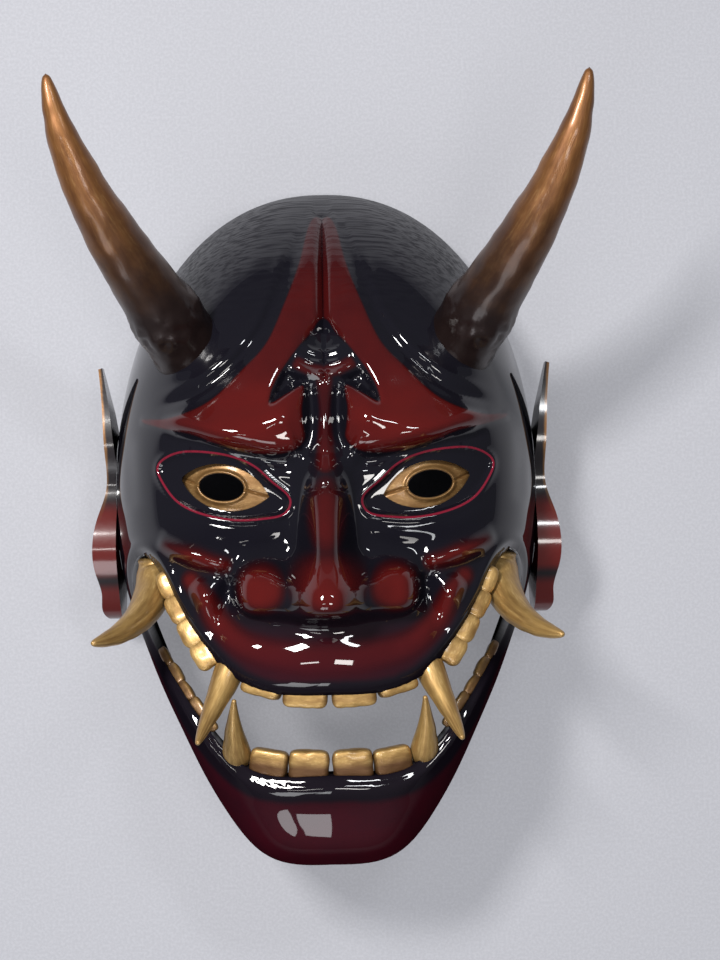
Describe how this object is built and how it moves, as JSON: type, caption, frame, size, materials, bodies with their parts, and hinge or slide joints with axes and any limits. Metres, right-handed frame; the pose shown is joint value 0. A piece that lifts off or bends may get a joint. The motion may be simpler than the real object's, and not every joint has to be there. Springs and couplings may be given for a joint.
{
  "type": "noh mask",
  "caption": "Horned demon face mask with open fanged mouth, gilt eyes, teeth and tusks, seated horns and side ears; it is worn over the face or rests face up.",
  "frame": {"origin": "middle of the whole mask's outline, on the plane of the rim that it rests on", "axes": "+Z out of the face, +Y up to the crown and horns, +X to the right of a viewer who faces the mask"},
  "size_m": [0.179, 0.2768, 0.1273],
  "materials": {
    "shell_lacquer": "black lacquer shaded with deep red on the raised features, clear gloss over it",
    "horn_gilt": "bronze-gold paint that darkens to brown-black at the base, gloss",
    "ear_lacquer": "black and dark red gloss lacquer with a bronze rim",
    "eye_gilt": "antique gold paint, brushed",
    "tooth_gilt": "antique gold paint, brushed, satin gloss"
  },
  "bodies": {
    "root": {"ear_left": "ear_lacquer", "ear_right": "ear_lacquer", "eye_left": "eye_gilt", "eye_right": "eye_gilt", "horn_left": "horn_gilt", "horn_right": "horn_gilt", "lower_fang_left": "tooth_gilt", "lower_fang_right": "tooth_gilt", "lower_incisor_1_left": "tooth_gilt", "lower_incisor_1_right": "tooth_gilt", "lower_incisor_2_left": "tooth_gilt", "lower_incisor_2_right": "tooth_gilt", "lower_side_tooth_1_left": "tooth_gilt", "lower_side_tooth_1_right": "tooth_gilt", "lower_side_tooth_2_left": "tooth_gilt", "lower_side_tooth_2_right": "tooth_gilt", "lower_side_tooth_3_left": "tooth_gilt", "lower_side_tooth_3_right": "tooth_gilt", "lower_side_tooth_4_left": "tooth_gilt", "lower_side_tooth_4_right": "tooth_gilt", "lower_side_tooth_5_left": "tooth_gilt", "lower_side_tooth_5_right": "tooth_gilt", "mask_shell": "shell_lacquer", "tusk_left": "tooth_gilt", "tusk_right": "tooth_gilt", "upper_fang_left": "tooth_gilt", "upper_fang_right": "tooth_gilt", "upper_incisor_1_left": "tooth_gilt", "upper_incisor_1_right": "tooth_gilt", "upper_incisor_2_left": "tooth_gilt", "upper_incisor_2_right": "tooth_gilt", "upper_side_tooth_1_left": "tooth_gilt", "upper_side_tooth_1_right": "tooth_gilt", "upper_side_tooth_2_left": "tooth_gilt", "upper_side_tooth_2_right": "tooth_gilt", "upper_side_tooth_3_left": "tooth_gilt", "upper_side_tooth_3_right": "tooth_gilt", "upper_side_tooth_4_left": "tooth_gilt", "upper_side_tooth_4_right": "tooth_gilt"}
  },
  "joints": []
}
